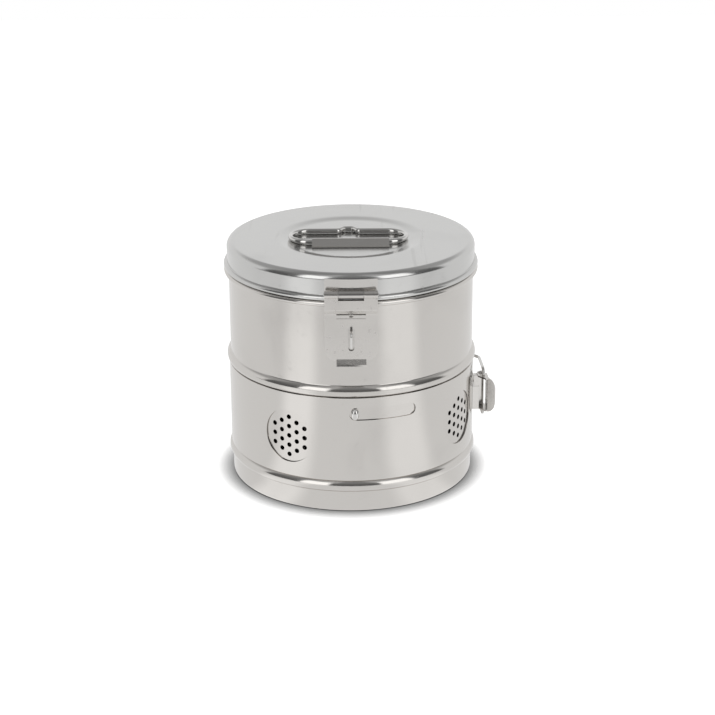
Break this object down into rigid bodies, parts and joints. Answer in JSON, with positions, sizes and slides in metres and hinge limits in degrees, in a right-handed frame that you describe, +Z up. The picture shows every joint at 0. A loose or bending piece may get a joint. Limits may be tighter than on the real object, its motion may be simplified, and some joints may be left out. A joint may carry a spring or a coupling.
{
  "type": "sterilization container",
  "caption": "Round steel sterilizing drum with hinged lid, hasp, folding handle and a perforated wall that a sliding band with a toggle latch opens and closes.",
  "frame": {"origin": "centre of the flat base, on the surface the container stands on", "axes": "+Z up along the drum axis, -Y towards the front hasp, +X towards the band's latch"},
  "size_m": [0.2126, 0.2118, 0.1934],
  "materials": {
    "polished_wall": "polished stainless sheet with faint drawing lines",
    "polished_band": "polished stainless sheet",
    "brushed_lid": "fine satin stainless sheet",
    "bright_fitting": "bright pressed stainless",
    "bright_wire": "bright stainless wire"
  },
  "bodies": {
    "drum": {"drum_shell": "polished_wall", "base_pan": "polished_wall", "slide_stop_stud": "bright_fitting", "hasp_catch_plate": "bright_fitting", "lock_staple": "bright_fitting", "lid_hinge_lower_leaf": "bright_fitting", "lid_hinge_pin": "bright_fitting"},
    "lid": {"lid_shell": "brushed_lid", "lid_hinge_upper_leaf": "bright_fitting", "hasp_hinge_leaf": "bright_fitting", "hasp_hinge_pin": "bright_fitting", "handle_bracket": "bright_fitting"},
    "handle": {"handle_bail": "bright_wire"},
    "hasp": {"hasp_plate": "bright_fitting"},
    "band": {"sliding_band": "polished_band", "latch_base": "bright_fitting", "latch_pivot_pin": "bright_wire", "catch_hook": "bright_fitting"},
    "lever": {"latch_lever": "bright_fitting"},
    "bail": {"latch_wire_bail": "bright_wire"}
  },
  "joints": [
    {"name": "lid_hinge", "type": "hinge", "parent": "drum", "child": "lid", "pos_m": [0, 0.1019, 0.171], "axis": [-1, 0, 0], "range_deg": [0, 105]},
    {"name": "hasp_hinge", "type": "hinge", "parent": "lid", "child": "hasp", "pos_m": [0, -0.1, 0.1755], "axis": [-1, 0, 0], "range_deg": [0, 150]},
    {"name": "handle_fold", "type": "hinge", "parent": "lid", "child": "handle", "pos_m": [0, -0.017, 0.19053], "axis": [1, 0, 0], "range_deg": [0, 165]},
    {"name": "band_slide", "type": "hinge", "parent": "drum", "child": "band", "pos_m": [0, 0, 0.0593], "axis": [0, 0, 1], "range_deg": [-26, 0]},
    {"name": "latch_lever_turn", "type": "hinge", "parent": "band", "child": "lever", "pos_m": [0.10329, 0.00795, 0.0593], "axis": [0, 0, 1], "range_deg": [0, 120]},
    {"name": "latch_bail_turn", "type": "hinge", "parent": "lever", "child": "bail", "pos_m": [0.10492, 0.00114, 0.0593], "axis": [0, 0, 1], "range_deg": [-120, 0]}
  ],
  "couplings": [
    {"joint": "latch_bail_turn", "follows": "latch_lever_turn", "ratio": -1}
  ]
}
